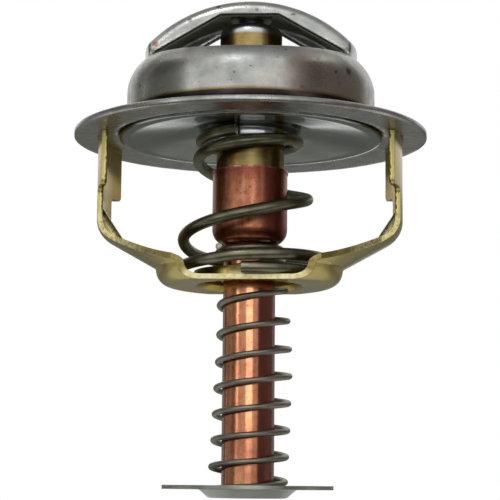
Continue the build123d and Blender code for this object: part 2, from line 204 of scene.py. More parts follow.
# The foot of the strap's pressed edge: level in the middle, then sloping to its ends
LIP_FLAT_HALF = 4.4 * MM
LIP_END = 14.5 * MM
LIP_FOOT_MIDDLE = 18.3 * MM
LIP_FOOT_END = 12.42 * MM
# Marks on the seat: where in mm, how far they reach, their tone and strength
SEAT_MARKS = (
    ((-14.3, -5.9, 13.8), 0.65, "#a2603c", 0.85),
    ((15.0, -11.6, 8.0), 0.8, "#3c3c3c", 0.8),
    ((-4.8, -5.6, 19.7), 0.5, "#4c4c4a", 0.8),
    ((-9.1, -6.0, 17.5), 0.5, "#4c4c4a", 0.7),
    ((1.1, -6.0, 19.1), 0.4, "#4c4c4a", 0.6),
    ((8.6, -17.0, 6.2), 4.5, "#86706a", 0.6),
)


def galvanised_sheet():
    """Galvanised sheet steel, deep-drawn: satin grey zinc, mottled by its crystals, with dark
    specks and faint tan staining where it was handled, and finer scratches round the drawn wall."""
    material, tree, shader, here = start_material("galvanised_drawn_sheet_steel")
    spangle = noise(tree, (here, "Object"), 3.5, 4.0, 0.6)
    zinc = ramp(tree, (spangle, "Fac"), [(0.3, "#8d8f8c"), (0.5, "#a6a7a3"), (0.7, "#bcbcb6")])
    stain_patch = noise(tree, (here, "Object"), 11.0, 2.0)
    stain_share = add(
        tree,
        "ShaderNodeMapRange",
        values={"From Min": 0.52, "From Max": 0.72, "To Max": 0.55},
        links={"Value": (stain_patch, "Fac")},
    )
    # Specks of dirt in the zinc, 0.4 to 0.8 mm
    grit = noise(tree, (here, "Object"), 1.1, 1.0)
    speck_share = add(
        tree,
        "ShaderNodeMapRange",
        values={"From Min": 0.70, "From Max": 0.76, "To Max": 0.75},
        links={"Value": (grit, "Fac")},
    )
    surface = (zinc, "Color")
    for share, tone in ((stain_share, "#9a8a78"), (speck_share, "#4b4a45")):
        dirtied = add(
            tree,
            "ShaderNodeMix",
            {"data_type": "RGBA"},
            {"B": colour(tone)},
            {"Factor": (share, "Result"), "A": surface},
        )
        surface = (dirtied, "Result")
    # Painted shade in the crook above the flange, with a painted highlight, a tan line, where it
    # ends
    place = add(tree, "ShaderNodeSeparateXYZ", links={"Vector": (here, "Object")})
    up_the_wall = add(
        tree,
        "ShaderNodeMapRange",
        values={"From Max": CROOK_SCALE},
        links={"Value": (place, "Z")},
    )
    crook = ramp(tree, (up_the_wall, "Result"), CROOK_SHADE_TONES)
    crook_shaded = add(
        tree,
        "ShaderNodeMix",
        {"data_type": "RGBA", "blend_type": "MULTIPLY"},
        {"Factor": 1.0},
        {"A": surface, "B": (crook, "Color")},
    )
    # Under the bridge the downward faces get a matt finish and a painted olive tint that stands in
    # for the shaded underside
    facing = add(tree, "ShaderNodeNewGeometry")
    direction = add(tree, "ShaderNodeSeparateXYZ", links={"Vector": (facing, "Normal")})
    downward = add(
        tree,
        "ShaderNodeMapRange",
        values={"From Min": -0.2, "From Max": -0.5},
        links={"Value": (direction, "Z")},
    )
    under_bridge = add(
        tree,
        "ShaderNodeMapRange",
        values={"From Min": 9.5 * MM, "From Max": 11.0 * MM},
        links={"Value": (place, "Z")},
    )
    underside_tint_share = combine(tree, "MULTIPLY", (downward, "Result"), (under_bridge, "Result"))
    # Painted shade, a dark line along the foot of the strap's pressed edge
    aside = add(tree, "ShaderNodeMath", {"operation": "ABSOLUTE"}, links={"Value": (place, "X")})
    lip_foot = add(
        tree,
        "ShaderNodeMapRange",
        values={
            "From Min": LIP_FLAT_HALF,
            "From Max": LIP_END,
            "To Min": LIP_FOOT_MIDDLE,
            "To Max": LIP_FOOT_END,
        },
        links={"Value": (aside, "Value")},
    )
    above_foot = combine(tree, "SUBTRACT", (place, "Z"), (lip_foot, "Result"))
    foot_share = add(
        tree,
        "ShaderNodeMapRange",
        {"interpolation_type": "SMOOTHSTEP"},
        {"From Min": 0.4 * MM, "From Max": 0.1 * MM, "To Max": 0.75},
        {"Value": (above_foot, "Value")},
    )
    across = add(tree, "ShaderNodeMath", {"operation": "ABSOLUTE"}, links={"Value": (place, "Y")})
    lip_side = add(
        tree,
        "ShaderNodeMapRange",
        values={"From Min": 5.75 * MM, "From Max": 5.9 * MM},
        links={"Value": (across, "Value")},
    )
    on_strap = add(
        tree,
        "ShaderNodeMapRange",
        values={"From Min": 6.2 * MM, "From Max": 6.1 * MM},
        links={"Value": (across, "Value")},
    )
    lip_share = combine(tree, "MULTIPLY", (lip_side, "Result"), (on_strap, "Result"))
    lip_foot_shade = combine(tree, "MULTIPLY", (foot_share, "Result"), (lip_share, "Value"))
    layers = [((underside_tint_share, "Value"), "#b4b6a4"), ((lip_foot_shade, "Value"), "#4e5244")]
    # Single marks: a rust spot, a dent's shadow, specks and a brown smear
    for mark, reach, tone, strength in SEAT_MARKS:
        away = add(
            tree,
            "ShaderNodeVectorMath",
            {"operation": "DISTANCE"},
            {1: [size * MM for size in mark]},
            {0: (here, "Object")},
        )
        spot = add(
            tree,
            "ShaderNodeMapRange",
            {"interpolation_type": "SMOOTHSTEP"},
            {"From Min": reach * MM, "From Max": 0.4 * reach * MM, "To Max": strength},
            {"Value": (away, "Value")},
        )
        layers.append(((spot, "Result"), tone))
    surface = crook_shaded
    for share, tone in layers:
        surface = add(
            tree,
            "ShaderNodeMix",
            {"data_type": "RGBA"},
            {"B": colour(tone)},
            {"Factor": share, "A": (surface, "Result")},
        )
    sheen = add(
        tree,
        "ShaderNodeMapRange",
        values={"From Min": 0.3, "From Max": 0.7, "To Min": 0.38, "To Max": 0.22},
        links={"Value": (spangle, "Fac")},
    )
    gloss = add(
        tree,
        "ShaderNodeMix",
        {"data_type": "FLOAT"},
        {"B": 0.5},
        {"Factor": (underside_tint_share, "Value"), "A": (sheen, "Result")},
    )
    # Drawing scratches run round the wall, so the pattern is squeezed along the axis. They are
    # drawn 0.35 mm apart, coarser than real ones, so that they show
    round_lines = add(
        tree,
        "ShaderNodeMapping",
        values={"Scale": (1.0, 1.0, 7.0)},
        links={"Vector": (here, "Object")},
    )
    scratches = noise(tree, (round_lines, "Vector"), 2.5, 4.0, 0.6)
    rolled_edge = add(tree, "ShaderNodeBevel", {"samples": 8}, {"Radius": 0.9 * MM})
    relief = add(
        tree,
        "ShaderNodeBump",
        values={"Strength": 0.16, "Distance": 0.12 * MM},
        links={"Height": (scratches, "Fac"), "Normal": (rolled_edge, "Normal")},
    )
    look = {
        "Base Color": (surface, "Result"), "Roughness": (gloss, "Result"),
        "Normal": (relief, "Normal"),
    }
    join(tree, shader, look)
    return material


def tinned_sheet(name, dark, light, shine, fold, hub_shade_radius=0.0):
    """Tinned sheet steel, rolled and pressed: a cool grey with a green tinge, near mirror, with
    hair scratches, and dark and matt inside a given radius round the guide, a painted shade for the
    inside of the spring's top coil."""
    material, tree, shader, here = start_material(name)
    cloud = noise(tree, (here, "Object"), 7.0, 3.0)
    tin = ramp(tree, (cloud, "Fac"), [(0.35, dark), (0.65, light)])
    gloss = add(
        tree,
        "ShaderNodeMapRange",
        values={"From Min": 0.35, "From Max": 0.65, "To Min": shine + 0.06, "To Max": shine},
        links={"Value": (cloud, "Fac")},
    )
    # Rolling lines run along one way of the sheet, drawn 0.5 mm apart, coarser than real ones, so
    # that they show
    one_way = add(
        tree,
        "ShaderNodeMapping",
        values={"Scale": (1.0, 14.0, 1.0)},
        links={"Vector": (here, "Object")},
    )
    hair_lines = noise(tree, (one_way, "Vector"), 7.0, 5.0)
    soft_fold = add(tree, "ShaderNodeBevel", {"samples": 8}, {"Radius": fold * MM})
    relief = add(
        tree,
        "ShaderNodeBump",
        values={"Strength": 0.05, "Distance": 0.1 * MM},
        links={"Height": (hair_lines, "Fac"), "Normal": (soft_fold, "Normal")},
    )
    # Painted shade round the guide, inside the spring's top coil: the sheet is made dark and matt
    # there
    flat = add(
        tree,
        "ShaderNodeMapping",
        values={"Scale": (1, 1, 0)},
        links={"Vector": (here, "Object")},
    )
    radius = add(
        tree,
        "ShaderNodeVectorMath",
        {"operation": "LENGTH"},
        links={"Vector": (flat, "Vector")},
    )
    hub_shade_share = add(
        tree,
        "ShaderNodeMapRange",
        values={"From Min": (hub_shade_radius + 0.6) * MM, "From Max": (hub_shade_radius - 0.6) * MM},
        links={"Value": (radius, "Value")},
    )
    hub_shaded_tin = add(
        tree,
        "ShaderNodeMix",
        {"data_type": "RGBA"},
        {"B": colour("#50524b")},
        {"Factor": (hub_shade_share, "Result"), "A": (tin, "Color")},
    )
    hub_shade_gloss = add(
        tree,
        "ShaderNodeMix",
        {"data_type": "FLOAT"},
        {"B": 0.5},
        {"Factor": (hub_shade_share, "Result"), "A": (gloss, "Result")},
    )
    look = {
        "Base Color": (hub_shaded_tin, "Result"), "Roughness": (hub_shade_gloss, "Result"),
        "Normal": (relief, "Normal"),
    }
    join(tree, shader, look)
    return material


def brass_strip():
    """Yellow brass strip, blanked and pressed: satin gold inside, dulled to a paler olive outside
    where it is handled, with a torn, bright cut edge along the cup and down the legs."""
    material, tree, shader, here = start_material("pressed_yellow_brass_strip")
    dulling = noise(tree, (here, "Object"), 7.0, 4.0)
    gold, dulled = (
        ramp(tree, (dulling, "Fac"), stops)
        for stops in (INSIDE_TONES, OUTSIDE_TONES)
    )
    # The strip's outer side looks away from the middle of the frame
    facing = add(tree, "ShaderNodeNewGeometry")
    from_middle = add(
        tree,
        "ShaderNodeVectorMath",
        {"operation": "SUBTRACT"},
        {1: FRAME_MIDDLE},
        {0: (here, "Object")},
    )
    away = add(
        tree,
        "ShaderNodeVectorMath",
        {"operation": "NORMALIZE"},
        links={0: (from_middle, "Vector")},
    )
    outward = add(
        tree,
        "ShaderNodeVectorMath",
        {"operation": "DOT_PRODUCT"},
        links={0: (away, "Vector"), 1: (facing, "Normal")},
    )
    outer_share = add(
        tree,
        "ShaderNodeMapRange",
        values={"From Min": 0.35, "From Max": 0.95},
        links={"Value": (outward, "Value")},
    )
    strip = add(
        tree,
        "ShaderNodeMix",
        {"data_type": "RGBA"},
        links={"Factor": (outer_share, "Result"), "A": (gold, "Color"), "B": (dulled, "Color")},
    )
    # The cut edges face along Y
    direction = add(tree, "ShaderNodeSeparateXYZ", links={"Vector": (facing, "True Normal")})
    to_side = add(
        tree,
        "ShaderNodeMath",
        {"operation": "ABSOLUTE"},
        links={"Value": (direction, "Y")},
    )
    straight_edge = add(
        tree,
        "ShaderNodeMapRange",
        values={"From Min": 0.93, "From Max": 0.98},
        links={"Value": (to_side, "Value")},
    )
    # The arms taper, so their cut edges slant
    place = add(tree, "ShaderNodeSeparateXYZ", links={"Vector": (here, "Object")})
    aside = add(tree, "ShaderNodeMath", {"operation": "ABSOLUTE"}, links={"Value": (place, "X")})
    arm_share = add(
        tree,
        "ShaderNodeMapRange",
        values={"From Min": ARM_START, "From Max": ARM_START + 0.5 * MM},
        links={"Value": (aside, "Value")},
    )
    slanting = add(
        tree,
        "ShaderNodeMapRange",
        values={"From Min": 0.45, "From Max": 0.6},
        links={"Value": (to_side, "Value")},
    )
    slanting_edge = combine(tree, "MULTIPLY", (arm_share, "Result"), (slanting, "Result"))
    edge_share = combine(tree, "MAXIMUM", (straight_edge, "Result"), (slanting_edge, "Value"))
    # They are torn in grains of about 0.6 mm
    tear = noise(tree, (here, "Object"), 0.6, 4.0)
    # On a leg the edge is burnished next to its outer side and broken dark next to its inner side
    flat = add(tree, "ShaderNodeCombineXYZ", links={"X": (place, "X"), "Y": (place, "Y")})
    radius = add(tree, "ShaderNodeVectorMath", {"operation": "LENGTH"}, links={0: (flat, "Vector")})
    depth = add(
        tree,
        "ShaderNodeMapRange",
        {"clamp": False},
        {"From Min": LEG_INNER_RADIUS, "From Max": LEG_OUTER_RADIUS},
        {"Value": (radius, "Value")},
    )
    ragged = add(
        tree,
        "ShaderNodeMath",
        {"operation": "MULTIPLY_ADD"},
        {1: 0.9},
        {0: (tear, "Fac"), 2: (depth, "Result")},
    )
    leg_edge = ramp(tree, (ragged, "Value"), LEG_EDGE_TONES)
    arm_edge, elbow_edge, cup_edge = (
        ramp(tree, (tear, "Fac"), stops)
        for stops in (ARM_EDGE_TONES, ELBOW_EDGE_TONES, CUP_EDGE_TONES)
    )
    elbow_share = add(
        tree,
        "ShaderNodeMapRange",
        values={"From Min": ELBOW_INNER, "From Max": ELBOW_INNER + 2.5 * MM},
        links={"Value": (aside, "Value")},
    )
    cup_low = add(
        tree,
        "ShaderNodeMapRange",
        values={"From Min": CUP_EDGE_TOP, "From Max": CUP_EDGE_TOP - 0.5 * MM},
        links={"Value": (place, "Z")},
    )
    cup_middle = add(
        tree,
        "ShaderNodeMapRange",
        values={"From Min": CUP_EDGE_HALF + 0.6 * MM, "From Max": CUP_EDGE_HALF - 0.4 * MM},
        links={"Value": (aside, "Value")},
    )
    cup_share = combine(tree, "MULTIPLY", (cup_low, "Result"), (cup_middle, "Result"))
    leg_share = add(
        tree,
        "ShaderNodeMapRange",
        values={"From Min": LEG_EDGE_FOOT, "From Max": LEG_EDGE_FOOT + 1.0 * MM},
        links={"Value": (place, "Z")},
    )
    cut_edge = (arm_edge, "Color")
    for share, edge in (
        ((elbow_share, "Result"), elbow_edge),
        ((cup_share, "Value"), cup_edge),
        ((leg_share, "Result"), leg_edge),
    ):
        joined = add(
            tree,
            "ShaderNodeMix",
            {"data_type": "RGBA"},
            links={"Factor": share, "A": cut_edge, "B": (edge, "Color")},
        )
        cut_edge = (joined, "Result")
    edged = add(
        tree,
        "ShaderNodeMix",
        {"data_type": "RGBA"},
        links={"Factor": (edge_share, "Value"), "A": (strip, "Result"), "B": cut_edge},
    )
    rough = add(
        tree,
        "ShaderNodeMapRange",
        values={"To Min": 0.27, "To Max": 0.5},
        links={"Value": (edge_share, "Value")},
    )
    worn_edge = add(tree, "ShaderNodeBevel", {"samples": 8}, {"Radius": 0.12 * MM})
    grain = noise(tree, (here, "Object"), 0.8, 5.0)
    relief = add(
        tree,
        "ShaderNodeBump",
        values={"Strength": 0.12, "Distance": 0.1 * MM},
        links={"Height": (grain, "Fac"), "Normal": (worn_edge, "Normal")},
    )
    look = {
        "Base Color": (edged, "Result"), "Roughness": (rough, "Result"),
        "Normal": (relief, "Normal"),
    }
    join(tree, shader, look)
    return material


def turned_brass():
    """Brass bar, turned on a lathe: dull olive gold, redder where it has tarnished, with the finest
    rings left by the tool and a pale silver band at the top of the nose, a painted highlight for
    the glint on its rounded edge."""
    material, tree, shader, here = start_material("turned_brass_bar")
    # The tool's rings are drawn 0.27 mm apart, coarser than real ones, so that they show
    rings = add(
        tree,
        "ShaderNodeMapping",
        values={"Scale": (0.3, 0.3, 9.0)},
        links={"Vector": (here, "Object")},
    )
    tool_marks = noise(tree, (rings, "Vector"), 2.4, 5.0)
    tarnish = noise(tree, (here, "Object"), 3.2, 4.0)
    tone = ramp(tree, (tarnish, "Fac"), [(0.3, "#7c5a36"), (0.45, "#968150"), (0.7, "#ad9c6a")])
    place = add(tree, "ShaderNodeSeparateXYZ", links={"Vector": (here, "Object")})
    # Above this height the nose gets a pale silver band, a painted highlight for the glint on its
    # rounded top edge
    lip_share = add(
        tree,
        "ShaderNodeMapRange",
        values={"From Min": NOSE_LIP - 0.25 * MM, "From Max": NOSE_LIP + 0.15 * MM},
        links={"Value": (place, "Z")},
    )
    nose_glint_painted = add(
        tree,
        "ShaderNodeMix",
        {"data_type": "RGBA"},
        {"B": colour("#c4c8ca")},
        {"Factor": (lip_share, "Result"), "A": (tone, "Color")},
    )
    relief = add(
        tree,
        "ShaderNodeBump",
        values={"Strength": 0.1, "Distance": 0.08 * MM},
        links={"Height": (tool_marks, "Fac")},
    )
    shader.inputs["Roughness"].default_value = 0.27
    join(tree, shader, {"Base Color": (nose_glint_painted, "Result"), "Normal": (relief, "Normal")})
    return material


def drawn_copper():
    """Copper cup, deep-drawn: warm orange to red-brown, streaked along the draw, duller and pinker
    on the bulb, where it has tarnished, and nearly polished on the tail, with small pits and rub
    marks."""
    material, tree, shader, here = start_material("drawn_copper")
    # Streaks 0.9 mm wide and 7 mm long, coarser than real ones, so that they show
    along = add(
        tree,
        "ShaderNodeMapping",
        values={"Scale": (4.0, 4.0, 0.5)},
        links={"Vector": (here, "Object")},
    )
    streaks = noise(tree, (along, "Vector"), 3.5, 5.0, 0.6)
    tarnish = noise(tree, (here, "Object"), 2.6, 5.0, 0.65)
    both = add(
        tree,
        "ShaderNodeMix",
        {"data_type": "FLOAT"},
        {"Factor": 0.55},
        {"A": (streaks, "Fac"), "B": (tarnish, "Fac")},
    )
    bulb_tone, tail_tone = (
        ramp(tree, (both, "Result"), stops)
        for stops in (BULB_TONES, TAIL_TONES)
    )
    place = add(tree, "ShaderNodeSeparateXYZ", links={"Vector": (here, "Object")})
    tail_share = add(
        tree,
        "ShaderNodeMapRange",
        values={"From Min": BULB_FOOT + 1.0 * MM, "From Max": BULB_FOOT - 1.0 * MM},
        links={"Value": (place, "Z")},
    )
    copper = add(
        tree,
        "ShaderNodeMix",
        {"data_type": "RGBA"},
        links={
            "Factor": (tail_share, "Result"),
            "A": (bulb_tone, "Color"),
            "B": (tail_tone, "Color"),
        },
    )
    # Pits and rub marks, 0.3 to 0.5 mm
    grit = noise(tree, (here, "Object"), 0.75, 2.0)
    pit_share = add(
        tree,
        "ShaderNodeMapRange",
        values={"From Min": 0.64, "From Max": 0.7, "To Max": 0.6},
        links={"Value": (grit, "Fac")},
    )
    # Painted shade: faces turned towards +X go maroon, for the shaded right side. A maroon band
    # also runs under the bulb's lip
    facing = add(tree, "ShaderNodeNewGeometry")
    direction = add(tree, "ShaderNodeSeparateXYZ", links={"Vector": (facing, "Normal")})
    right_side_shade_share = add(
        tree,
        "ShaderNodeMapRange",
        {"interpolation_type": "SMOOTHSTEP"},
        {"From Min": 0.2, "From Max": 0.55, "To Max": 0.75},
        {"Value": (direction, "X")},
    )
    lip_share = add(
        tree,
        "ShaderNodeMapRange",
        values={
            "From Min": BULB_LIP_BAND - 0.5 * MM,
            "From Max": BULB_LIP_BAND + 0.3 * MM,
            "To Max": 0.65,
        },
        links={"Value": (place, "Z")},
    )
    maroon_share = combine(tree, "MAXIMUM", (right_side_shade_share, "Result"), (lip_share, "Result"))
    # The bulb's crimped lip is torn and bright
    burr_share = add(
        tree,
        "ShaderNodeMapRange",
        values={"From Min": BULB_LIP - 0.45 * MM, "From Max": BULB_LIP - 0.1 * MM},
        links={"Value": (place, "Z")},
    )
    torn = add(
        tree,
        "ShaderNodeMapRange",
        values={"From Min": 0.46, "From Max": 0.58},
        links={"Value": (grit, "Fac")},
    )
    burr = combine(tree, "MULTIPLY", (burr_share, "Result"), (torn, "Result"))
    surface = copper
    for share, tone in (
        ((maroon_share, "Value"), "#8a423a"),
        ((pit_share, "Result"), "#6b3324"),
        ((burr, "Value"), "#e6b49c"),
    ):
        surface = add(
            tree,
            "ShaderNodeMix",
            {"data_type": "RGBA"},
            {"B": colour(tone)},
            {"Factor": share, "A": (surface, "Result")},
        )
    dull = add(
        tree,
        "ShaderNodeMapRange",
        values={"To Min": 0.42, "To Max": 0.21},
        links={"Value": (tail_share, "Result")},
    )
    gloss = add(
        tree,
        "ShaderNodeMath",
        {"operation": "MULTIPLY_ADD"},
        {1: -0.12},
        {0: (both, "Result"), 2: (dull, "Result")},
    )
    relief = add(
        tree,
        "ShaderNodeBump",
        values={"Strength": 0.2, "Distance": 0.1 * MM},
        links={"Height": (both, "Result")},
    )
    # A thin film of oil gives the tail its whitish highlight
    oil = add(
        tree,
        "ShaderNodeMapRange",
        values={"To Min": 0.25, "To Max": 0.9},
        links={"Value": (tail_share, "Result")},
    )
    shader.inputs["Coat Roughness"].default_value = 0.2
    look = {
        "Coat Weight": (oil, "Result"), "Base Color": (surface, "Result"),
        "Roughness": (gloss, "Value"), "Normal": (relief, "Normal"),
    }
    join(tree, shader, look)
    return material


def spring_wire(name, dark, light, rough):
    """Spring wire, drawn and oil-tempered: dark grey with an olive tinge and a soft gloss."""
    material, tree, shader, here = start_material(name)
    patches = noise(tree, (here, "Object"), 2.0, 4.0)
    tone = ramp(tree, (patches, "Fac"), [(0.3, dark), (0.7, light)])
    scale = noise(tree, (here, "Object"), 0.4, 3.0)
    relief = add(
        tree,
        "ShaderNodeBump",
        values={"Strength": 0.12, "Distance": 0.05 * MM},
        links={"Height": (scale, "Fac")},
    )
    shader.inputs["Roughness"].default_value = rough
    join(tree, shader, {"Base Color": (tone, "Color"), "Normal": (relief, "Normal")})
    return material


def sheared_wire_end():
    """The sheared end of the spring wire: bare bright steel, torn on one side."""
    material, tree, shader, here = start_material("sheared_spring_wire_end")
    tear = noise(tree, (here, "Object"), 0.6, 3.0)
    tone = ramp(tree, (tear, "Fac"), [(0.35, "#8d8878"), (0.6, "#cfcabb")])
    relief = add(
        tree,
        "ShaderNodeBump",
        values={"Strength": 0.5, "Distance": 0.1 * MM},
        links={"Height": (tear, "Fac")},
    )
    shader.inputs["Roughness"].default_value = 0.45
    join(tree, shader, {"Base Color": (tone, "Color"), "Normal": (relief, "Normal")})
    return material


def soft_solid(name, dark, light, rough):
    """A moulded solid, rubber, plastic or wax: an even matt body, a little cloudy in its tone."""
    material, tree, shader, here = start_material(name, metallic=0.0)
    cloud = noise(tree, (here, "Object"), 1.5, 3.0)
    tone = ramp(tree, (cloud, "Fac"), [(0.35, dark), (0.65, light)])
    shader.inputs["Roughness"].default_value = rough
    join(tree, shader, {"Base Color": (tone, "Color")})
    return material


# ---------------------------------------------------------------- round-wire springs
STEPS_PER_TURN = 96
WIRE_SIDES = 28
# The wire's side faces have this many corners, and its cut ends have more
SIDE_CORNERS = 4


def table_slopes(table):
    """Slopes at a table's points that keep the line between them from swinging past them."""
    steps = [
        (after[1] - before[1]) / (after[0] - before[0])
        for before, after in zip(table, table[1:])
    ]
    slopes = [steps[0]]
    for before, after in zip(steps, steps[1:]):
        slopes.append(2 * before * after / (before + after) if before * after > 0 else 0.0)
    return slopes + [steps[-1]]


def from_table(table, slopes, turn):
    """A smooth value between the points of a (turn, value) table."""
    index = 0
    while index < len(table) - 2 and turn > table[index + 1][0]:
        index += 1
    start, low = table[index]
    end, high = table[index + 1]
    width = end - start
    share = (turn - start) / width
    line = low + (high - low) * share * share * (3 - 2 * share)
    leave = slopes[index] * width * share * (1 - share) ** 2
    arrive = slopes[index + 1] * width * share * share * (share - 1)
    return line + leave + arrive


def coil_line(spring):
    """The wire's centre line from its top end down, in metres, from the spring's winding tables."""
    tables = [spring[key] for key in ("height", "radius", "aside", "tilt")]
    slopes = [table_slopes(table) for table in tables]
    turns = tables[0][-1][0]
    steps = math.ceil(turns * STEPS_PER_TURN)
    points = []
    for step in range(steps + 1):
        turn = turns * step / steps
        height, radius, aside, tilt = (from_table(*pair, turn) for pair in zip(tables, slopes))
        angle = math.radians(spring["top_angle"]) - 2 * math.pi * turn
        across = radius * math.cos(angle)
        points.append(
            ((across + aside) * MM, radius * math.sin(angle) * MM, (height - tilt * across) * MM)
        )
    return points


def wire_maker(name, wire, wire_material, end_material):
    """The node group that puts round wire with cut ends on a line of edges."""
    group = bpy.data.node_groups.new(name, "GeometryNodeTree")
    group.interface.new_socket("Geometry", in_out="INPUT", socket_type="NodeSocketGeometry")
    group.interface.new_socket("Geometry", in_out="OUTPUT", socket_type="NodeSocketGeometry")
    line = add(group, "NodeGroupInput")
    path = add(group, "GeometryNodeMeshToCurve", links={"Mesh": (line, "Geometry")})
    section = add(
        group,
        "GeometryNodeCurvePrimitiveCircle",
        values={"Resolution": WIRE_SIDES, "Radius": wire / 2 * MM},
    )
    body = add(
        group,
        "GeometryNodeCurveToMesh",
        values={"Fill Caps": True},
        links={"Curve": (path, "Curve"), "Profile Curve": (section, "Curve")},
    )
    corners = add(group, "GeometryNodeInputMeshFaceNeighbors")
    is_end = add(
        group,
        "FunctionNodeCompare",
        {"data_type": "INT", "operation": "GREATER_THAN"},
        {3: SIDE_CORNERS},
        {2: (corners, "Vertex Count")},
    )
    is_side = add(
        group,
        "FunctionNodeBooleanMath",
        {"operation": "NOT"},
        links={"Boolean": (is_end, "Result")},
    )
    smoothed = add(
        group,
        "GeometryNodeSetShadeSmooth",
        links={"Geometry": (body, "Mesh"), "Shade Smooth": (is_side, "Boolean")},
    )
    wired = add(
        group,
        "GeometryNodeSetMaterial",
        values={"Material": wire_material},
        links={"Geometry": (smoothed, "Geometry")},
    )
    ended = add(
        group,
        "GeometryNodeSetMaterial",
        values={"Material": end_material},
        links={"Geometry": (wired, "Geometry"), "Selection": (is_end, "Result")},
    )
    add(group, "NodeGroupOutput", links={"Geometry": (ended, "Geometry")})
    return group


def make_spring(name, spring, wire_material, end_material):
    """A spring of round wire: its centre line as a mesh of edges, and the wire put on by nodes."""
    points = coil_line(spring)
    mesh = bpy.data.meshes.new(name)
    mesh.from_pydata(points, [(step, step + 1) for step in range(len(points) - 1)], [])
    mesh.materials.append(wire_material)
    mesh.materials.append(end_material)
    piece = bpy.data.objects.new(name, mesh)
    scene.collection.objects.link(piece)
    wire = piece.modifiers.new("round_wire", "NODES")
    wire.node_group = wire_maker(name + "_wire", spring["wire"], wire_material, end_material)
    return piece


# The cone spring: wire in mm, the angle of its top end, and what it does from turn to turn on its
# way down, as (turn, mm): its centre line's height and radius, and how far it stands aside or tilts
MAIN_SPRING = {
    "wire": 1.77,
    "top_angle": -104.0,
    "height": [
        (0.0, 0.39), (0.2, -0.28), (0.45, -0.30), (0.7, -0.34), (0.96, -1.43), (1.2, -3.07),
        (1.45, -5.8), (1.7, -9.05), (1.95, -12.4), (2.2, -15.45), (2.31, -16.95), (2.42, -17.75),
        (2.55, -18.0), (2.7, -18.5), (2.97, -19.16), (3.05, -19.7), (3.2, -20.4), (3.45, -20.85),
        (3.7, -20.94), (3.97, -20.945),
    ],
    "radius": [
        (0.0, 7.3), (0.2, 7.55), (0.45, 7.4), (0.7, 7.3), (1.2, 7.92), (1.7, 8.81), (2.2, 10.1),
        (2.7, 11.3), (3.2, 11.15), (3.97, 10.7),
    ],
    "aside": [(0.0, 0.0), (3.97, 0.0)],
    "tilt": [(0.0, 0.0), (3.97, 0.0)],
}

# The tail spring, in the same way: its upper turns stand aside and its lower ones tilt a little
TAIL_SPRING = {
    "wire": 0.9,
    "top_angle": 188.0,
    "height": [
        (0.0, -16.43), (1.0, -17.4), (1.5, -18.7), (2.0, -20.85), (3.0, -25.5), (4.0, -29.95),
        (5.0, -34.1), (6.0, -38.1), (7.0, -42.1), (8.0, -46.05), (9.0, -49.95), (9.5, -51.8),
        (9.77, -52.75), (10.02, -53.15), (10.3, -53.2),
    ],
    "radius": [
        (0.0, 4.75), (1.0, 4.82), (3.3, 5.13), (4.3, 5.31), (5.3, 5.44), (6.3, 5.5), (8.3, 5.53),
        (10.3, 5.62),
    ],
    "aside": [
        (0.0, 0.0), (1.0, 0.03), (2.0, 0.4), (3.3, 0.66), (4.3, 0.78), (5.3, 0.76), (6.3, 0.58),
        (7.3, 0.43), (8.3, 0.27), (9.3, 0.03), (10.3, 0.0),
    ],
    "tilt": [(0.0, 0.0), (5.0, 0.0), (8.0, 0.04), (9.3, 0.03), (10.3, 0.0)],
}


# ---------------------------------------------------------------- plunged collar
# Section of the plate's collar round the guide, as (radius, height) in mm: drawn down from the hub
COLLAR_SECTION = (
    (5.22, 1.28), (5.22, -0.15), (5.30, -0.31), (5.45, -0.37), (5.72, -0.37), (5.87, -0.31),
    (5.95, -0.15), (5.95, 1.28),
)
COLLAR_SIDES = 96
COLLAR_SHARP_ANGLE = math.radians(50)


def make_collar():
    """The short collar that the plate is plunged down into round the guide."""
    corners = []
    for side in range(COLLAR_SIDES):
        angle = 2 * math.pi * side / COLLAR_SIDES
        across = MM * math.cos(angle)
        along = MM * math.sin(angle)
        for radius, height in COLLAR_SECTION:
            corners.append((radius * across, radius * along, height * MM))
    faces = []
    count = len(COLLAR_SECTION)
    for side in range(COLLAR_SIDES):
        here = side * count
        there = (side + 1) % COLLAR_SIDES * count
        for step in range(count):
            following = (step + 1) % count
            faces.append((here + step, here + following, there + following, there + step))
    mesh = bpy.data.meshes.new("plate_collar")
    mesh.from_pydata(corners, [], faces)
    mesh.shade_smooth()
    mesh.set_sharp_from_angle(angle=COLLAR_SHARP_ANGLE)
    collar = bpy.data.objects.new("plate_collar", mesh)
    scene.collection.objects.link(collar)
    return collar


# ---------------------------------------------------------------- studio
FLOOR_Z = -65.0 * MM
FLOOR_RADIUS = 600 * MM
FLOOR_SIDES = 96
# From the first of these radii to the second the paper fades to white
FLOOR_FADE_START = 150 * MM
FLOOR_FADE_END = 420 * MM


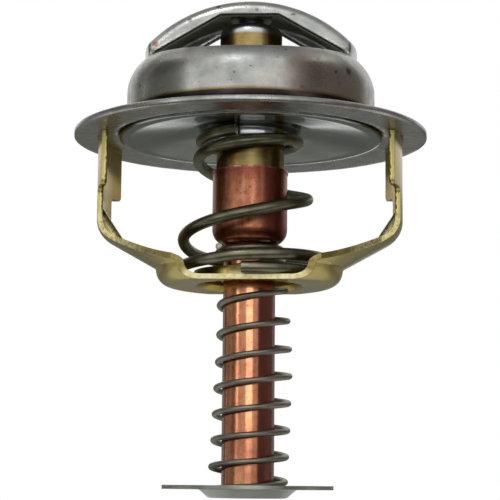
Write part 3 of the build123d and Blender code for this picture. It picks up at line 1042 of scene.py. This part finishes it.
def make_floor():
    """A pale round floor below the lowest place of the bypass plate, fading to white at its rim."""
    mesh = bpy.data.meshes.new("floor")
    corners = []
    for side in range(FLOOR_SIDES):
        angle = 2 * math.pi * side / FLOOR_SIDES
        corners.append((FLOOR_RADIUS * math.cos(angle), FLOOR_RADIUS * math.sin(angle), FLOOR_Z))
    mesh.from_pydata(corners, [], [list(range(FLOOR_SIDES))])
    floor = bpy.data.objects.new("floor", mesh)
    scene.collection.objects.link(floor)
    material, tree, here = blank_material("pale_paper_floor")
    paper = add(
        tree,
        "ShaderNodeBsdfPrincipled",
        values={"Base Color": colour("#f6f6f4"), "Metallic": 0.0, "Roughness": 0.9},
    )
    white = add(tree, "ShaderNodeEmission")
    flat = add(
        tree,
        "ShaderNodeMapping",
        values={"Scale": (1, 1, 0)},
        links={"Vector": (here, "Object")},
    )
    out = add(
        tree,
        "ShaderNodeVectorMath",
        {"operation": "LENGTH"},
        links={"Vector": (flat, "Vector")},
    )
    fade = add(
        tree,
        "ShaderNodeMapRange",
        {"interpolation_type": "SMOOTHSTEP"},
        {"From Min": FLOOR_FADE_START, "From Max": FLOOR_FADE_END},
        {"Value": (out, "Value")},
    )
    faded = add(
        tree,
        "ShaderNodeMixShader",
        links={0: (fade, "Result"), 1: (paper, "BSDF"), 2: (white, "Emission")},
    )
    add(tree, "ShaderNodeOutputMaterial", links={"Surface": (faded, "Shader")})
    mesh.materials.append(material)


# A card keeps its tone out to this share of its shorter half side
CARD_EVEN_SHARE = 0.35
# What stands round the object: tones in the middle and at the rim, azimuth in degrees from the
# front, then distance, height of the middle, half width and half height in mm
STANDING_CARDS = {
    "right_card": ("#746d68", "#7a7470", 78, 430, 60, 290, 330),
    "left_card": ("#484742", "#4c4b46", -84, 430, 245, 190, 160),
    "low_left_card": ("#b2b0a8", "#9a988f", -82, 420, 10, 200, 75),
    "right_rear_card": ("#6e6e6a", "#6e6e6a", 121, 430, 60, 80, 330),
    "left_rear_card": ("#6e6e6a", "#6e6e6a", -121, 430, 60, 80, 330),
    "right_low_card": ("#8a8a84", "#8a8a84", 152, 430, 2, 148, 66),
    "left_low_card": ("#8a8a84", "#8a8a84", -152, 430, 2, 148, 66),
}
# What lies flat: tones, how far its middle is behind the axis, height, half width and half depth
# in mm
LYING_CARDS = {
    "table_card": ("#62645f", "#62645f", 460, -64.5, 400, 270),
    "near_table_card": ("#92928c", "#8a8a84", 125, -64.5, 300, 65),
    "front_table_card": ("#44463c", "#44463c", -190, -64.5, 400, 150),
    "ceiling_card": ("#a8aaaa", "#c8c8c8", 0, 500, 420, 420),
}
# Azimuth from the front and elevation in degrees, width and height in mm, and watts
LAMPS = {
    "key_lamp": (-14, 40, 130, 130, 0.4),
    "front_strip": (6, 2.5, 290, 70, 0.22),
    "left_strip": (-47, 4, 90, 110, 0.06),
}
LAMP_DISTANCE = 600 * MM
LAMP_AIM_Z = -15 * MM
# The world's strength as plain light. What the camera and the metals see of it is white
WORLD_FILL = 0.8


def make_card(name, tone, edge_tone, middle, across, up):
    """A studio card that the metals reflect and the camera doesn't see.

    It is a flat oblong about its middle, spanned by two half sides, and goes from its tone in the
    middle to its edge tone at the rim.
    """
    middle = Vector(middle)
    across = Vector(across)
    up = Vector(up)
    corners = [
        middle - across - up,
        middle + across - up,
        middle + across + up,
        middle - across + up,
    ]
    mesh = bpy.data.meshes.new(name)
    mesh.from_pydata(corners, [], [(0, 1, 2, 3)])
    card = bpy.data.objects.new(name, mesh)
    scene.collection.objects.link(card)
    material, tree, here = blank_material(name + "_cloth")
    out = add(
        tree,
        "ShaderNodeVectorMath",
        {"operation": "DISTANCE"},
        {1: middle},
        {0: (here, "Object")},
    )
    reach = min(across.length, up.length)
    share = add(
        tree,
        "ShaderNodeMapRange",
        {"interpolation_type": "SMOOTHSTEP"},
        {"From Min": CARD_EVEN_SHARE * reach, "From Max": reach},
        {"Value": (out, "Value")},
    )
    cloth = add(
        tree,
        "ShaderNodeMix",
        {"data_type": "RGBA"},
        {"A": colour(tone), "B": colour(edge_tone)},
        {"Factor": (share, "Result")},
    )
    glow = add(tree, "ShaderNodeEmission", links={"Color": (cloth, "Result")})
    add(tree, "ShaderNodeOutputMaterial", links={"Surface": (glow, "Emission")})
    mesh.materials.append(material)
    card.visible_camera = False
    card.visible_shadow = False
    card.visible_diffuse = False


def standing_card(name, tone, edge_tone, azimuth, distance, height, half_width, half_height):
    """A card that stands round the object, facing its axis."""
    angle = math.radians(azimuth)
    away = Vector((math.sin(angle), -math.cos(angle), 0))
    along = Vector((math.cos(angle), math.sin(angle), 0))
    middle = away * distance * MM + Vector((0, 0, height * MM))
    up = Vector((0, 0, half_height * MM))
    make_card(name, tone, edge_tone, middle, along * half_width * MM, up)


def lying_card(name, tone, edge_tone, behind, height, half_width, half_depth):
    """A card that lies flat, its middle behind or in front of the axis."""
    middle = (0, behind * MM, height * MM)
    make_card(name, tone, edge_tone, middle, (half_width * MM, 0, 0), (0, half_depth * MM, 0))


def make_lamp(name, azimuth, elevation, width, height, watts):
    """A soft oblong lamp that looks at the object's middle."""
    data = bpy.data.lights.new(name, "AREA")
    data.shape = "RECTANGLE"
    data.size = width * MM
    data.size_y = height * MM
    data.energy = watts
    lamp = bpy.data.objects.new(name, data)
    angle = math.radians(azimuth)
    rise = math.radians(elevation)
    level = math.cos(rise)
    away = Vector((math.sin(angle) * level, -math.cos(angle) * level, math.sin(rise)))
    lamp.location = away * LAMP_DISTANCE + Vector((0, 0, LAMP_AIM_Z))
    lamp.rotation_euler = away.to_track_quat("Z", "Y").to_euler()
    scene.collection.objects.link(lamp)


def make_world():
    """White all round for what the camera and the metals see, and a plain level for the rest."""
    world = bpy.data.worlds.new("studio")
    world.use_nodes = True
    scene.world = world
    tree = world.node_tree
    tree.nodes.clear()
    ray = add(tree, "ShaderNodeLightPath")
    seen = combine(tree, "MAXIMUM", (ray, "Is Camera Ray"), (ray, "Is Glossy Ray"))
    shown = combine(tree, "MAXIMUM", (seen, "Value"), (ray, "Is Transmission Ray"))
    strength = add(
        tree,
        "ShaderNodeMapRange",
        values={"To Min": WORLD_FILL, "To Max": 1.0},
        links={"Value": (shown, "Value")},
    )
    sky = add(
        tree,
        "ShaderNodeBackground",
        values={"Color": (1, 1, 1, 1)},
        links={"Strength": (strength, "Result")},
    )
    add(tree, "ShaderNodeOutputWorld", links={"Surface": (sky, "Background")})


make_camera()
make_world()
make_floor()
for name, card in STANDING_CARDS.items():
    standing_card(name, *card)
for name, card in LYING_CARDS.items():
    lying_card(name, *card)
for name, lamp in LAMPS.items():
    make_lamp(name, *lamp)
scene.view_settings.view_transform = "Standard"

# ---------------------------------------------------------------- dressing
dark_wire = spring_wire("oil_tempered_spring_wire", "#67654f", "#898672", 0.39)
thin_wire = spring_wire("drawn_thin_spring_wire", "#757267", "#8c897d", 0.42)
wire_end = sheared_wire_end()
black_rubber = soft_solid("moulded_nitrile_rubber", "#141414", "#242424", 0.6)
dress("seat_and_bridge", galvanised_sheet())
dress(
    "valve_plate", tinned_sheet("bright_tinned_sheet_steel", "#8f9690", "#a8afa9", 0.12, 0.6, 7.6)
)
dress("bypass_plate", tinned_sheet("satin_tinned_sheet_steel", "#8a8f88", "#a5aaa2", 0.30, 0.15))
dress("spring_frame", brass_strip())
dress("guide", turned_brass())
dress("copper_bulb", drawn_copper())
dress("piston", spring_wire("ground_hardened_steel", "#8f8f8c", "#b5b5b2", 0.25))
dress("plate_clip", dark_wire)
dress("keeper_ring", dark_wire)
dress("rubber_plug", black_rubber)
dress("diaphragm", black_rubber)
dress("piston_washer", soft_solid("turned_white_plastic", "#d8d6cc", "#eceae2", 0.45))
dress("wax_charge", soft_solid("copper_filled_wax", "#6a3e28", "#8c5a3a", 0.7))
dress("main_spring", dark_wire)
dress("bypass_spring", thin_wire)

cone_spring = make_spring("cone_spring", MAIN_SPRING, dark_wire, wire_end)
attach(cone_spring, "root")
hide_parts("main_spring")
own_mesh(cone_spring)

tail_spring = make_spring("tail_spring", TAIL_SPRING, thin_wire, wire_end)
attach(tail_spring, "element")
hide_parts("bypass_spring")
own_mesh(tail_spring)

collar = make_collar()
collar.data.materials.append(
    tinned_sheet("burnished_tinned_collar", "#c2c6cc", "#d6dade", 0.12, 0.1)
)
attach(collar, "element")
